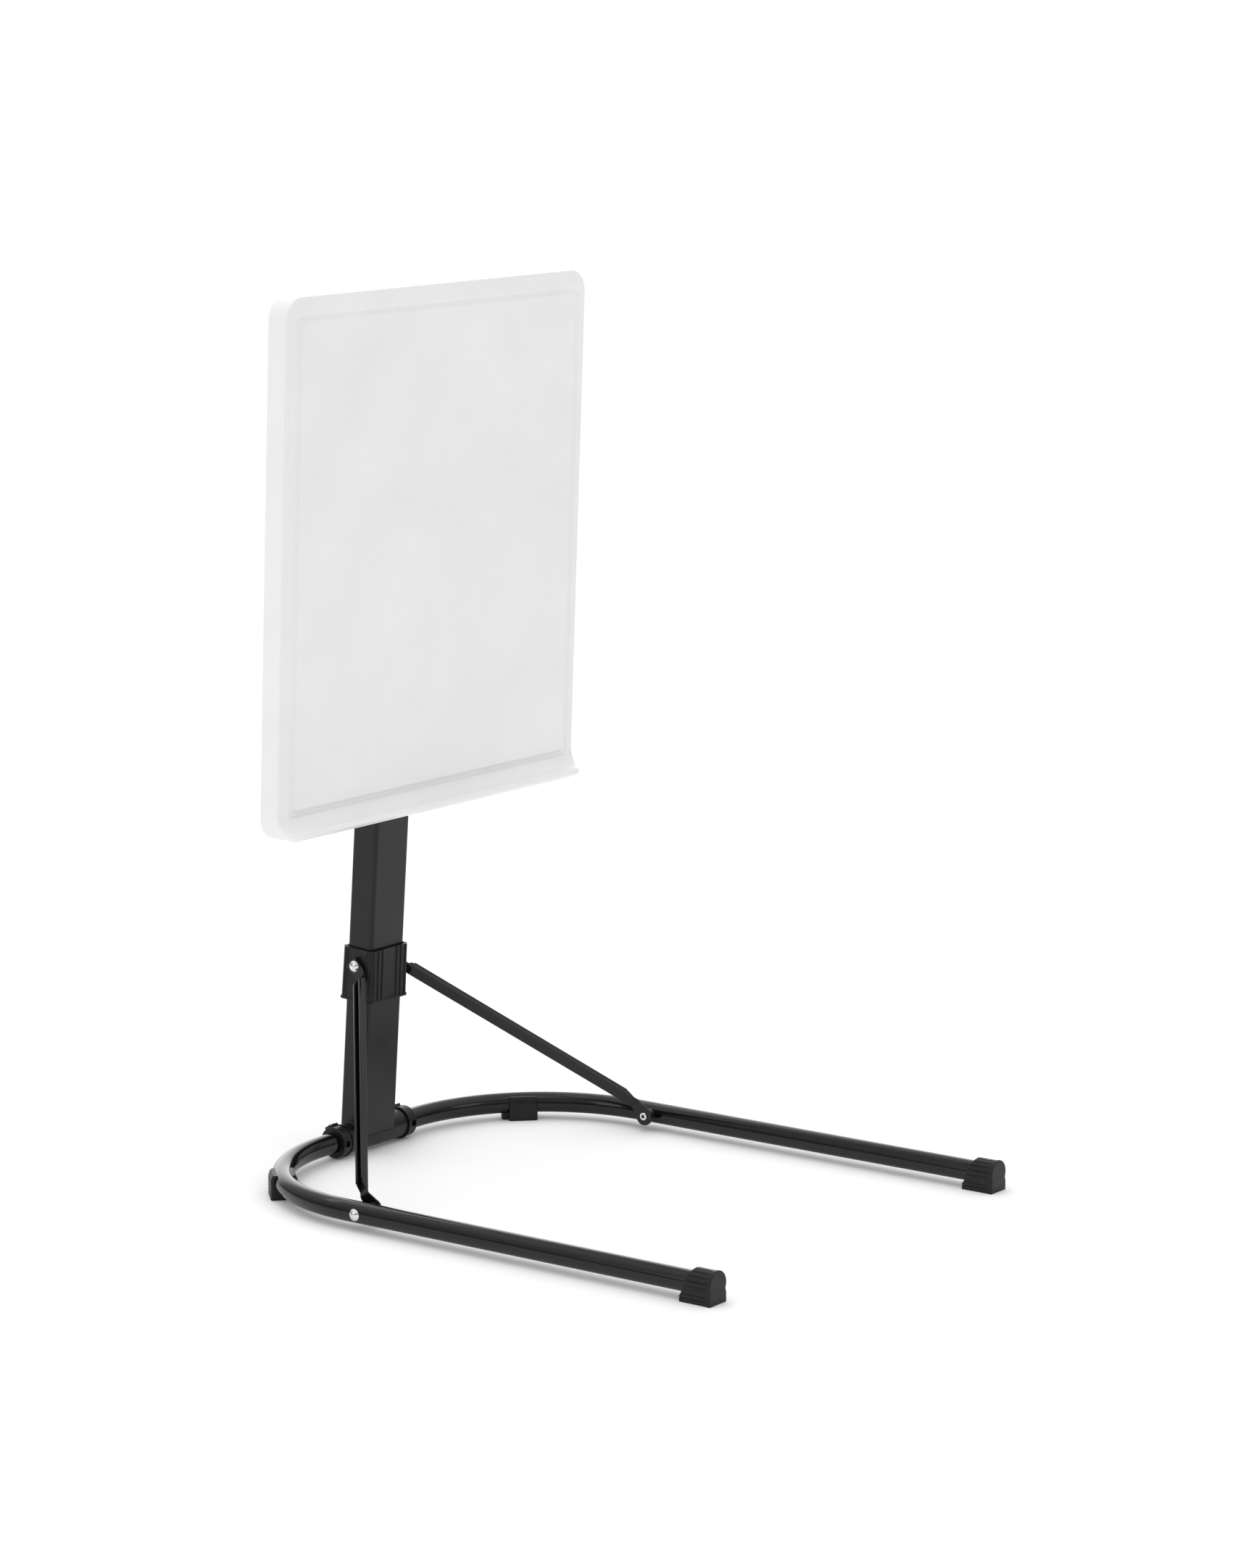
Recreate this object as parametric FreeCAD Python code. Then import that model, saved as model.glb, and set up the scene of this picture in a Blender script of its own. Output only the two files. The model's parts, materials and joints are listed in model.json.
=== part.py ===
import FreeCAD, Part
import math
import os

V = FreeCAD.Vector
Rotation = FreeCAD.Rotation
Placement = FreeCAD.Placement

# A folding drawing board on a U-shaped floor frame. Millimetres, +Z up, floor at z = 0.
# The user sits on the -Y side, over the two legs of the frame, and +X is at their right hand.
# The origin is the middle of the object's footprint.

# floor frame, one bent round tube
TUBE_R = 11.0
TUBE_WALL = 1.5
LEG_X = 247.0               # leg centre line from the middle plane
BEND_R = 173.0
AXIS_Z = 17.5               # height of the tube's centre line
FRONT_REACH = 627.0         # pivot axis to the front of the end feet
REAR_REACH = 17.2           # pivot axis to the back of the sleeve rings
AXIS_Y = (FRONT_REACH - REAR_REACH) / 2

# front feet, pushed on the tube's ends
CAP_W = 27.0
CAP_H = 33.0
CAP_PLATE = 4.0
CAP_BOTTOM = 36.0
CAP_TOP = 24.5

# rear feet, clipped on the bends
CLIP_ANGLE = 44.0           # round the right bend, from +X
CLIP_LENGTH = 31.0
CLIP_W = 28.0
CLIP_TOP = 25.8

# pivot sleeve and its two retaining rings
SLEEVE_R = 15.2
SLEEVE_WALL = 1.5
SLEEVE_HALF = 46.0
SLEEVE_X = 3.5              # the sleeve sits a little off the middle plane
RING_R = 16.4
FLANGE_R = 17.2
RING_END = 60.0
RING_HOLE = 54.5
RING_SCREW = 51.0

# column, welded on the sleeve
COLUMN_LEAN = 3.93
COLUMN_W = 54.0
COLUMN_D = 32.0
COLUMN_WALL = 1.5
COLUMN_TOP = 560.0

# sliding collar and braces
COLLAR_BOTTOM = 149.0
COLLAR_TOP = 205.0
COLLAR_PIVOT = 187.0        # brace rivets, along the column
COLLAR_HALF_W = 30.6
COLLAR_HALF_D = 20.0
COLLAR_PAD = 32.4
LEG_PIVOT = 195.0           # brace rivets on the legs, forward of the pivot axis
BRACE_W = 12.0
BRACE_DEPTH = 6.4
BRACE_WALL = 1.8
BRACE_SPACER = 8.0          # between a leg and its brace

# mast inside the column
MAST_W = 48.0
MAST_D = 26.0
MAST_BOTTOM = 330.0
MAST_TOP = 666.0
HEIGHT_KNOB = 532.0         # along the column
KNOB_GAP = 11.0             # column to knob
KNOB_H = 17.0
TILT_AXIS = 684.0           # along the column
HEAD_R = 17.0
HEAD_HALF = 25.0
STOP_RADIUS = 24.0
TILT_RANGE = 92.2

# board
BOARD_LEAN = 2.24
BOARD_W = 482.0
BOARD_TOP = 516.0           # above the fold of the ledge
BOARD_BOTTOM = -24.5
BOARD_D = 22.2
BOARD_FORWARD = 88.2        # face of the board ahead of the pivot axis, at the fold
BOARD_Z = 398.6             # height of the fold
PANEL = 3.2
SKIN = 3.0
LEDGE = 22.0                # how far the pencil ledge stands out

COLUMN = Placement(V(0, AXIS_Y, AXIS_Z), Rotation(V(1, 0, 0), COLUMN_LEAN))
BOARD = Placement(V(0, AXIS_Y - BOARD_FORWARD, BOARD_Z), Rotation(V(1, 0, 0), BOARD_LEAN))
TILT = BOARD.inverse().multVec(COLUMN.multVec(V(0, 0, TILT_AXIS)))


# ---------- shape helpers ----------

def box(x0, x1, y0, y1, z0, z1):
    return Part.makeBox(x1 - x0, y1 - y0, z1 - z0, V(x0, y0, z0))


def cylinder(radius, start, end):
    start, end = V(*start), V(*end)
    return Part.makeCylinder(radius, (end - start).Length, start, end - start)


def tube(outer, inner, start, end):
    return cylinder(outer, start, end).cut(cylinder(inner, start, end))


def fuse(shapes):
    return shapes[0].multiFuse(shapes[1:]).removeSplitter()


def mirror_x(shape):
    return shape.mirror(V(0, 0, 0), V(1, 0, 0))


def placed(shape, placement):
    moved = shape.copy()
    moved.Placement = placement.multiply(moved.Placement)
    return moved


def prism(points, start, push):
    """Extrudes a closed outline of 3-D points."""
    wire = Part.makePolygon([V(*p) for p in points] + [V(*points[0])])
    solid = Part.Face(wire).extrude(V(*push))
    solid.translate(V(*start))
    return solid


def rounded_wire(half_w, y0, y1, radius, z=0.0, shift=0.0):
    """A rounded rectangle in the plane at height z; y0 and y1 are its sides."""
    x0, x1, r = shift - half_w, shift + half_w, radius
    k = r * (1 - math.sqrt(0.5))
    corners = [
        ((x1 - r, y0), (x1 - k, y0 + k), (x1, y0 + r)),
        ((x1, y1 - r), (x1 - k, y1 - k), (x1 - r, y1)),
        ((x0 + r, y1), (x0 + k, y1 - k), (x0, y1 - r)),
        ((x0, y0 + r), (x0 + k, y0 + k), (x0 + r, y0)),
    ]
    edges = []
    for i, (a, m, b) in enumerate(corners):
        edges.append(Part.Arc(V(*a, z), V(*m, z), V(*b, z)).toShape())
        after = corners[(i + 1) % 4][0]
        edges.append(Part.makeLine(V(*b, z), V(*after, z)))
    return Part.Wire(edges)


def rounded_block(width, depth, radius, z0, z1):
    wire = rounded_wire(width / 2, -depth / 2, depth / 2, radius, z0)
    return Part.Face(wire).extrude(V(0, 0, z1 - z0))


def rect_tube(width, depth, wall, radius, z0, z1):
    inner = rounded_block(width - 2 * wall, depth - 2 * wall, radius - wall, z0, z1)
    return rounded_block(width, depth, radius, z0, z1).cut(inner)


def edges_where(shape, test):
    return [e for e in shape.Edges if test(e.CenterOfMass, e)]


def dome(radius, height, z0):
    """A low rivet or screw head: the cap of a sphere, flat side down at z0."""
    sphere_r = (radius ** 2 + height ** 2) / (2 * height)
    ball = Part.makeSphere(sphere_r, V(0, 0, z0 + height - sphere_r))
    return ball.common(cylinder(radius, (0, 0, z0), (0, 0, z0 + height + 1)))


def along(origin, direction):
    """A placement that takes +Z to a direction at an origin."""
    return Placement(V(*origin), Rotation(V(0, 0, 1), V(*direction)))


# ---------- floor frame ----------

def frame_path():
    back, bend = AXIS_Y, AXIS_Y - BEND_R
    front = AXIS_Y - FRONT_REACH + CAP_PLATE
    inner = LEG_X - BEND_R
    k = BEND_R * math.sqrt(0.5)
    z = AXIS_Z
    return Part.Wire([
        Part.makeLine(V(-LEG_X, front, z), V(-LEG_X, bend, z)),
        Part.Arc(V(-LEG_X, bend, z), V(-inner - k, bend + k, z), V(-inner, back, z)).toShape(),
        Part.makeLine(V(-inner, back, z), V(inner, back, z)),
        Part.Arc(V(inner, back, z), V(inner + k, bend + k, z), V(LEG_X, bend, z)).toShape(),
        Part.makeLine(V(LEG_X, bend, z), V(LEG_X, front, z)),
    ])


def swept_round(radius):
    path = frame_path()
    start = V(-LEG_X, AXIS_Y - FRONT_REACH + CAP_PLATE, AXIS_Z)
    profile = Part.Wire(Part.makeCircle(radius, start, V(0, 1, 0)))
    return path.makePipeShell([profile], True, False)


def base_frame():
    solid = swept_round(TUBE_R).cut(swept_round(TUBE_R - TUBE_WALL))
    y = AXIS_Y - LEG_PIVOT
    rivet = cylinder(3.1, (230, y, AXIS_Z), (264, y, AXIS_Z))
    along_clip = CLIP_LENGTH / 2 + 3
    screw = placed(cylinder(2.02, (0, along_clip, 4), (0, along_clip, 12)), clip_placement())
    for hole in (rivet, screw):
        solid = solid.cut(hole).cut(mirror_x(hole))
    return solid


def front_foot():
    """A D-shaped ribbed cap on a leg's end, with a flat front plate and a slanted rear."""
    half, front = CAP_W / 2, AXIS_Y - FRONT_REACH
    shoulder = CAP_H - half
    waist = math.radians(25)

    def d_shape(inset, y):
        r, step = half - inset, 10.0
        x, z = r * math.cos(waist), shoulder - r * math.sin(waist)
        return Part.Face(Part.Wire([
            Part.makeLine(V(LEG_X - r, y, 0), V(LEG_X + r, y, 0)),
            Part.makeLine(V(LEG_X + r, y, 0), V(LEG_X + r, y, step)),
            Part.makeLine(V(LEG_X + r, y, step), V(LEG_X + x, y, z)),
            Part.Arc(V(LEG_X + x, y, z), V(LEG_X, y, shoulder + r), V(LEG_X - x, y, z)).toShape(),
            Part.makeLine(V(LEG_X - x, y, z), V(LEG_X - r, y, step)),
            Part.makeLine(V(LEG_X - r, y, step), V(LEG_X - r, y, 0)),
        ]))

    plate = d_shape(0, front).extrude(V(0, CAP_PLATE - 1.0, 0))
    body = d_shape(0.6, front + CAP_PLATE - 1.0).extrude(V(0, CAP_BOTTOM, 0))
    rear_top, rear_low = front + CAP_TOP, front + CAP_BOTTOM
    slant = prism([(0, rear_top, CAP_H + 1), (0, rear_top, CAP_H), (0, rear_top + 4, CAP_H - 7),
                   (0, rear_top + 6.5, CAP_H - 14), (0, rear_top + 9, 10), (0, rear_low, 6),
                   (0, rear_low, -1), (0, rear_low + 30, -1), (0, rear_low + 30, CAP_H + 1)],
                  (LEG_X - 20, 0, 0), (40, 0, 0))
    body = body.cut(slant)
    grooves = []
    r = half - 0.6
    for z in (4, 8):
        for side in (-1, 1):
            x = LEG_X + side * r
            grooves.append(box(x - 0.6, x + 0.6, front + 5, rear_low + 5, z, z + 1.0))
    for i in range(10):
        angle = math.radians(-13.5 + 23 * i)
        x, z = LEG_X + r * math.cos(angle), shoulder + r * math.sin(angle)
        grooves.append(cylinder(0.7, (x, front + 5, z), (x, rear_low + 5, z)))
    for groove in grooves:
        body = body.cut(groove)
    bore = cylinder(TUBE_R + 0.02, (LEG_X, front + CAP_PLATE, AXIS_Z), (LEG_X, 0, AXIS_Z))
    foot = fuse([plate, body]).cut(bore)
    rim = edges_where(foot, lambda c, e: abs(c.y - front) < 0.01)
    return foot.makeFillet(0.8, rim)


def clip_placement():
    """The frame of the right rear foot: +X out from the bend's centre, +Y along the tube."""
    angle = math.radians(CLIP_ANGLE)
    centre = V(LEG_X - BEND_R, AXIS_Y - BEND_R, 0)
    where = centre + V(math.cos(angle), math.sin(angle), 0) * BEND_R
    return Placement(where, Rotation(V(0, 0, 1), CLIP_ANGLE))


def rear_foot():
    """A C-shaped clip pressed on the bend from below: flat sole, two round jaws, ribbed outside."""
    half, length = CLIP_W / 2, CLIP_LENGTH / 2
    jaws = cylinder(half, (0, -length, AXIS_Z), (0, length, AXIS_Z))
    block = fuse([jaws, box(-half, half, -length, length, 0, AXIS_Z)])
    block = block.cut(box(-half, half, -length - 1, length + 1, CLIP_TOP, 40))
    corners = edges_where(block, lambda c, e: c.z < AXIS_Z and abs(abs(c.x) - half) < 0.01
                          and abs(abs(c.y) - length) < 0.01)
    block = block.makeFillet(2.5, corners)
    sole = edges_where(block, lambda c, e: c.z < 0.01)
    block = block.makeFillet(0.8, sole)
    for z in (4, 8, 12, 16, 20):
        x = math.sqrt(half ** 2 - max(z + 0.5 - AXIS_Z, 0) ** 2)
        block = block.cut(box(x - 0.7, x + 1, -CLIP_LENGTH, CLIP_LENGTH, z, z + 1.2))
    lug = box(-7, 7, length - 1, length + 7, 0.8, 8)
    lug = lug.makeFillet(2.0, edges_where(lug, lambda c, e: c.y > length + 6 and abs(c.z - 4.4) < 0.1))
    block = placed(fuse([block, lug]), clip_placement())
    block = block.cut(swept_round(TUBE_R + 0.02))
    screw_hole = placed(cylinder(2.1, (0, length + 3, -1), (0, length + 3, 10)), clip_placement())
    block = block.cut(screw_hole)
    return max(block.Solids, key=lambda s: s.Volume)


def foot_screw():
    """The self-tapping screw that fixes a rear foot's lug to the tube from below."""
    y = CLIP_LENGTH / 2 + 3
    head = placed(dome(3.4, 0.7, 0), along((0, y, 0.78), (0, 0, -1)))
    screw = fuse([head, cylinder(2.0, (0, y, 0.76), (0, y, AXIS_Z - TUBE_R + 3.0))])
    return placed(screw, clip_placement())


# ---------- pivot sleeve ----------

def sleeve_ring():
    """The right retaining ring: clamp band, groove, flange, and a spigot inside the sleeve."""
    y, z = AXIS_Y, AXIS_Z
    bore = TUBE_R + 0.02
    flange, band = SLEEVE_HALF + 1.6, SLEEVE_HALF + 2.4
    ring = fuse([
        tube(RING_R, bore, (band, y, z), (RING_END, y, z)),
        tube(RING_R - 1.6, bore, (flange, y, z), (band, y, z)),
        tube(FLANGE_R, bore, (SLEEVE_HALF + 0.3, y, z), (flange, y, z)),
        tube(SLEEVE_R - SLEEVE_WALL - 0.08, bore, (26.0, y, z), (SLEEVE_HALF + 0.3, y, z)),
    ])
    outer_rim = edges_where(ring, lambda c, e: abs(c.x - RING_END) < 0.01 and e.Length > 90)
    ring = ring.makeFillet(1.2, outer_rim)
    lug = box(RING_SCREW - 4.4, RING_SCREW + 5.6, -5.0, 5.0, 11.6, 18.6)
    ring = fuse([ring, placed(lug, ring_lean())])
    front_hole = cylinder(3.6, (RING_HOLE, y - 20, z), (RING_HOLE, y - 12.2, z))
    screw_hole = placed(cylinder(2.05, (RING_SCREW, 0, 11), (RING_SCREW, 0, 30)), ring_lean())
    return ring.cut(front_hole).cut(screw_hole)


def ring_lean():
    """Turns a ring's screw lug behind the top of the tube."""
    return Placement(V(0, AXIS_Y, AXIS_Z), Rotation(V(1, 0, 0), -30.0))


def ring_screw():
    """The pan-head screw that holds a retaining ring on the tube."""
    shank = cylinder(2.0, (RING_SCREW, 0, 11.2), (RING_SCREW, 0, 18.7))
    head = dome(4.4, 2.6, 18.65)
    head.translate(V(RING_SCREW, 0, 0))
    slot = box(RING_SCREW - 0.5, RING_SCREW + 0.5, -5, 5, 20.2, 22)
    return placed(fuse([shank, head]).cut(slot), ring_lean())


def pivot_sleeve():
    ends = (-SLEEVE_HALF, AXIS_Y, AXIS_Z), (SLEEVE_HALF, AXIS_Y, AXIS_Z)
    return tube(SLEEVE_R, SLEEVE_R - SLEEVE_WALL, *ends)


def on_sleeve(shape):
    """Moves a piece made round the middle plane to the sleeve's own place on the tube."""
    shape.translate(V(SLEEVE_X, 0, 0))
    return shape


# ---------- column, in its own frame: z runs up the column, -y faces the user ----------

def column_tube():
    shell = rect_tube(COLUMN_W, COLUMN_D, COLUMN_WALL, 4.0, 0.0, COLUMN_TOP)
    shell = shell.cut(cylinder(SLEEVE_R + 0.03, (-60, 0, 0), (60, 0, 0)))
    shell = shell.cut(box(-40, 40, -30, 30, -1, 3.0))
    shell = shell.cut(cylinder(4.2, (0, 10, HEIGHT_KNOB), (0, 30, HEIGHT_KNOB)))
    return max(shell.Solids, key=lambda s: s.Volume)


def column_cap():
    """The moulded guide on the column's top: a rim outside, a liner round the mast."""
    rim = rounded_block(COLUMN_W + 5, COLUMN_D + 5, 6.0, COLUMN_TOP - 12, COLUMN_TOP + 8)
    rim = rim.cut(rounded_block(COLUMN_W + 0.04, COLUMN_D + 0.04, 4.02, COLUMN_TOP - 13, COLUMN_TOP))
    liner = rounded_block(COLUMN_W - 3.04, COLUMN_D - 3.04, 2.48, COLUMN_TOP - 16, COLUMN_TOP + 1)
    top = edges_where(rim, lambda c, e: abs(c.z - COLUMN_TOP - 8) < 0.01)
    rim = rim.makeFillet(2.0, top)
    bore = rounded_block(MAST_W + 0.6, MAST_D + 0.6, 3.0, COLUMN_TOP - 20, COLUMN_TOP + 10)
    return fuse([rim, liner]).cut(bore)


def height_nut():
    """The threaded boss welded on the back of the column for the height knob."""
    back = COLUMN_D / 2
    boss = tube(9.0, 4.1, (0, back + 0.02, HEIGHT_KNOB), (0, back + 10, HEIGHT_KNOB))
    rim = edges_where(boss, lambda c, e: c.y > back + 9.9 and e.Length > 50)
    return boss.makeChamfer(1.0, rim)


def star_knob(radius, height):
    """A six-lobed hand knob standing on z = 0, with a stepped hub under it."""
    body = cylinder(radius, (0, 0, 3), (0, 0, height))
    body = body.makeFillet(2.4, edges_where(body, lambda c, e: c.z > height - 0.1 and e.Length > 20))
    for i in range(6):
        a = math.radians(60 * i + 30)
        r = radius * 1.22
        at = (r * math.cos(a), r * math.sin(a))
        body = body.cut(cylinder(radius * 0.42, (*at, 2), (*at, height + 1)))
    hub = cylinder(radius * 0.55, (0, 0, 0), (0, 0, 4))
    knob = fuse([body, hub])
    recess = cylinder(radius * 0.3, (0, 0, height - 1.2), (0, 0, height + 1))
    return knob.cut(recess)


def height_knob():
    knob = star_knob(19.0, KNOB_H).cut(cylinder(4.0, (0, 0, -1), (0, 0, KNOB_H - 5)))
    return placed(knob, along((0, COLUMN_D / 2 + KNOB_GAP, HEIGHT_KNOB), (0, 1, 0)))


def height_knob_stud():
    """The height knob's threaded stud, whose tip stops just clear of the mast it clamps."""
    tip, end = MAST_D / 2 + 0.3, COLUMN_D / 2 + KNOB_GAP + KNOB_H - 5.2
    stud = cylinder(3.98, (0, tip, HEIGHT_KNOB), (0, end, HEIGHT_KNOB))
    return stud.makeChamfer(0.6, edges_where(stud, lambda c, e: abs(c.y - tip) < 0.01))


# ---------- collar ----------

def slide_collar():
    """The moulded sleeve that slides on the column, ribbed outside, flanged below."""
    z0, z1 = COLLAR_BOTTOM, COLLAR_TOP
    low = rounded_wire(COLLAR_HALF_W + 0.5, -COLLAR_HALF_D - 0.5, COLLAR_HALF_D + 0.5, 5.5, z0)
    high = rounded_wire(COLLAR_HALF_W - 0.5, -COLLAR_HALF_D + 0.5, COLLAR_HALF_D - 0.5, 4.5, z1)
    body = Part.makeLoft([low, high], True)
    flange = rounded_block(64.0, 43.2, 6.0, z0, z0 + 2.6)
    flange = flange.makeFillet(0.9, edges_where(flange, lambda c, e: c.z > z0 + 2.5))
    pieces = [body, flange]
    face = COLLAR_HALF_D - 0.2
    for x in (-25.5, -18.5, -11.5, 11.5, 18.5, 25.5):
        for side in (-1, 1):
            pieces.append(cylinder(1.5, (x, side * (face + 0.5), z0 + 1), (x, side * (face - 0.5), z1)))
    flank = COLLAR_HALF_W - 0.3
    for y in (-15.5, -12.5, 12.5, 15.5):
        for side in (-1, 1):
            pieces.append(cylinder(1.0, (side * (flank + 0.5), y, z0 + 1), (side * (flank - 0.5), y, z1)))
    pad = COLLAR_PIVOT
    pieces.append(cylinder(7.5, (-COLLAR_PAD, 0, pad), (COLLAR_PAD, 0, pad)))
    collar = fuse(pieces)
    collar = collar.cut(rounded_block(COLUMN_W + 0.6, COLUMN_D + 0.6, 4.3, z0 - 1, z1 + 1))
    collar = collar.cut(rounded_block(COLUMN_W + 3.2, COLUMN_D + 3.2, 5.0, z1 - 2.0, z1 + 1))
    return collar.cut(box(-40, 40, -40, 40, z1, z1 + 5))


# ---------- braces, in a frame with z from the leg rivet to the collar rivet ----------

COLLAR_POINT = COLUMN.multVec(V(0, 0, COLLAR_PIVOT))
LEG_POINT = V(0, AXIS_Y - LEG_PIVOT, AXIS_Z)
BRACE_LENGTH = (COLLAR_POINT - LEG_POINT).Length
BRACE_TURN = math.degrees(math.atan2(-(COLLAR_POINT.y - LEG_POINT.y), COLLAR_POINT.z - LEG_POINT.z))
BRACE = Placement(LEG_POINT, Rotation(V(1, 0, 0), BRACE_TURN))
LEG_TAB_X = LEG_X - TUBE_R - BRACE_SPACER - BRACE_WALL / 2
COLLAR_TAB_X = 33.2 + BRACE_WALL / 2


def offset_strip(points, thickness):
    """The outline of a bent strip about a centre line in the x-z plane."""
    left, right = [], []
    for i, (x, z) in enumerate(points):
        before = points[max(i - 1, 0)]
        after = points[min(i + 1, len(points) - 1)]
        a = math.atan2(z - before[1], x - before[0]) if i else None
        b = math.atan2(after[1] - z, after[0] - x) if i < len(points) - 1 else None
        a, b = (b if a is None else a), (a if b is None else b)
        mid, half = (a + b) / 2, (b - a) / 2
        reach = thickness / 2 / math.cos(half)
        left.append((x - reach * math.sin(mid), 0, z + reach * math.cos(mid)))
        right.append((x + reach * math.sin(mid), 0, z - reach * math.cos(mid)))
    return left + right[::-1]


def brace():
    """The right brace: a pressed channel, open outwards, flattened to an eye at each end."""
    low, high = (LEG_TAB_X, 17.0), (COLLAR_TAB_X, BRACE_LENGTH - 14.0)
    line = [(LEG_TAB_X, 0.0), low, high, (COLLAR_TAB_X, BRACE_LENGTH)]
    web = prism(offset_strip(line, BRACE_WALL), (0, -BRACE_W / 2, 0), (0, BRACE_W, 0))
    bends = edges_where(web, lambda c, e: abs(e.Length - BRACE_W) < 0.01
                        and (13 < c.z < 21 or -18 < c.z - BRACE_LENGTH < -10))
    web = web.makeFillet(5.0, bends)
    run = V(high[0] - low[0], 0, high[1] - low[1])
    length = run.Length
    step = run.normalize()
    out = V(step.z, 0, -step.x)
    foot = V(low[0], 0, low[1])

    def on_flange(t, h):
        p = foot + step * t + out * (h + BRACE_WALL / 2)
        return (p.x, 0, p.z)

    rise = BRACE_DEPTH - BRACE_WALL
    outline = [on_flange(4, -0.5), on_flange(13, rise), on_flange(length - 7, rise),
               on_flange(length - 2, -0.5)]
    pieces = [web]
    for y in (-BRACE_W / 2, BRACE_W / 2 - BRACE_WALL):
        flange = prism(outline, (0, y, 0), (0, BRACE_WALL, 0))
        tips = edges_where(flange, lambda c, e: abs(e.Length - BRACE_WALL) < 0.01)
        pieces.append(flange.makeFillet(3.0, [tips[1], tips[2]]) if len(tips) == 4 else flange)
    solid = fuse(pieces)
    edges = edges_where(solid, lambda c, e: e.Length > 200
                        and abs(abs(c.y) - BRACE_W / 2) < 0.01)
    solid = solid.makeFillet(0.7, edges)
    inner, outer = LEG_TAB_X - BRACE_WALL / 2, LEG_TAB_X + BRACE_WALL / 2
    eye = cylinder(10.0, (inner, 0, 0), (outer, 0, 0))
    neck = prism([(inner, -9.6, 2), (inner, 9.6, 2), (inner, BRACE_W / 2, 15), (inner, -BRACE_W / 2, 15)],
                 (0, 0, 0), (BRACE_WALL, 0, 0))
    inner, end = COLLAR_TAB_X - BRACE_WALL / 2, BRACE_LENGTH + 7.0
    tab = prism([(inner, -7.8, end), (inner, 7.8, end), (inner, 7.8, end - 16),
                 (inner, BRACE_W / 2, end - 20.5), (inner, -BRACE_W / 2, end - 20.5),
                 (inner, -7.8, end - 16)], (0, 0, 0), (BRACE_WALL, 0, 0))
    tab = tab.makeFillet(1.6, edges_where(tab, lambda c, e: abs(c.z - end) < 0.01
                                          and abs(e.Length - BRACE_WALL) < 0.01))
    solid = fuse([solid, eye, neck, tab])
    for x, z, r in ((LEG_TAB_X, 0.0, 3.05), (COLLAR_TAB_X, BRACE_LENGTH, 3.02)):
        solid = solid.cut(cylinder(r, (x - 5, 0, z), (x + 5, 0, z)))
    return solid


def collar_rivet():
    """The dome rivet at the brace's upper eye, outside the collar."""
    outer = COLLAR_TAB_X + BRACE_WALL / 2
    head = placed(dome(6.0, 2.8, 0), along((outer + 0.02, 0, BRACE_LENGTH), (1, 0, 0)))
    shank = cylinder(3.0, (33.2, 0, BRACE_LENGTH), (outer + 0.05, 0, BRACE_LENGTH))
    return fuse([head, shank])


def leg_rivet():
    """The rivet through a leg: dome head outside, rolled tubular end on the brace inside."""
    y, z = AXIS_Y - LEG_PIVOT, AXIS_Z
    inner = LEG_TAB_X - BRACE_WALL / 2
    outer = LEG_X + TUBE_R
    head = placed(dome(6.2, 3.2, 0), along((outer + 0.02, y, z), (1, 0, 0)))
    shank = cylinder(2.98, (inner - 0.05, y, z), (outer + 0.05, y, z))
    roll = cylinder(4.3, (inner - 1.5, y, z), (inner - 0.05, y, z))
    roll = roll.makeFillet(0.7, edges_where(roll, lambda c, e: c.x < inner - 1.4))
    rivet = fuse([head, shank, roll])
    return rivet.cut(cylinder(2.0, (inner - 5, y, z), (inner + 9, y, z)))


def brace_spacer():
    """The nylon spacer between a leg and its brace, saddled on the round tube."""
    y, z = AXIS_Y - LEG_PIVOT, AXIS_Z
    inner = LEG_TAB_X + BRACE_WALL / 2 + 0.05
    spacer = tube(6.5, 3.05, (inner, y, z), (LEG_X - 8, y, z))
    return spacer.cut(cylinder(TUBE_R + 0.02, (LEG_X, y - 20, z), (LEG_X, y + 20, z)))


# ---------- mast and tilting head, in the column's frame ----------

def mast_tube():
    shell = rect_tube(MAST_W, MAST_D, COLUMN_WALL, 3.0, MAST_BOTTOM, MAST_TOP)
    pin = TILT_AXIS - STOP_RADIUS
    return shell.cut(cylinder(2.55, (-40, 0, pin), (40, 0, pin)))


def mast_slider():
    """The moulded plug in the mast's lower end, which guides it inside the column."""
    z = MAST_BOTTOM
    plug = rounded_block(MAST_W - 3.04, MAST_D - 3.04, 1.5, z, z + 20)
    foot = rounded_block(COLUMN_W - 3.6, COLUMN_D - 3.6, 2.2, z - 6, z - 0.02)
    return fuse([plug, foot, rounded_block(30, 12, 2, z - 1, z + 1)])


def tilt_head():
    """The casting on the mast: a plug inside the tube and a barrel across its top."""
    plug = rounded_block(MAST_W - 3.04, MAST_D - 3.04, 1.5, MAST_TOP - 24, MAST_TOP + 1)
    neck = rounded_block(MAST_W + 2, MAST_D + 2, 3.5, MAST_TOP + 0.02, TILT_AXIS)
    barrel = cylinder(HEAD_R, (-HEAD_HALF, 0, TILT_AXIS), (HEAD_HALF, 0, TILT_AXIS))
    barrel = barrel.makeFillet(1.5, edges_where(barrel, lambda c, e: abs(c.x) > HEAD_HALF - 0.1))
    pin = TILT_AXIS - STOP_RADIUS
    head = fuse([plug, neck, barrel])
    head = head.cut(cylinder(5.08, (-40, 0, TILT_AXIS), (40, 0, TILT_AXIS)))
    return head.cut(cylinder(2.52, (-40, 0, pin), (40, 0, pin)))


def tilt_washers():
    washers = [tube(14.0, 5.1, (HEAD_HALF + 0.02, 0, TILT_AXIS), (HEAD_HALF + 1.8, 0, TILT_AXIS))]
    washers.append(mirror_x(washers[0]))
    return Part.makeCompound(washers)


def stop_pin():
    """The cross pin that holds the head in the mast and stops the tilt in the ears' slots."""
    z = TILT_AXIS - STOP_RADIUS
    pin = cylinder(2.5, (-30.6, 0, z), (30.6, 0, z))
    return pin.makeChamfer(0.5, edges_where(pin, lambda c, e: abs(c.x) > 30.5))


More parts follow.
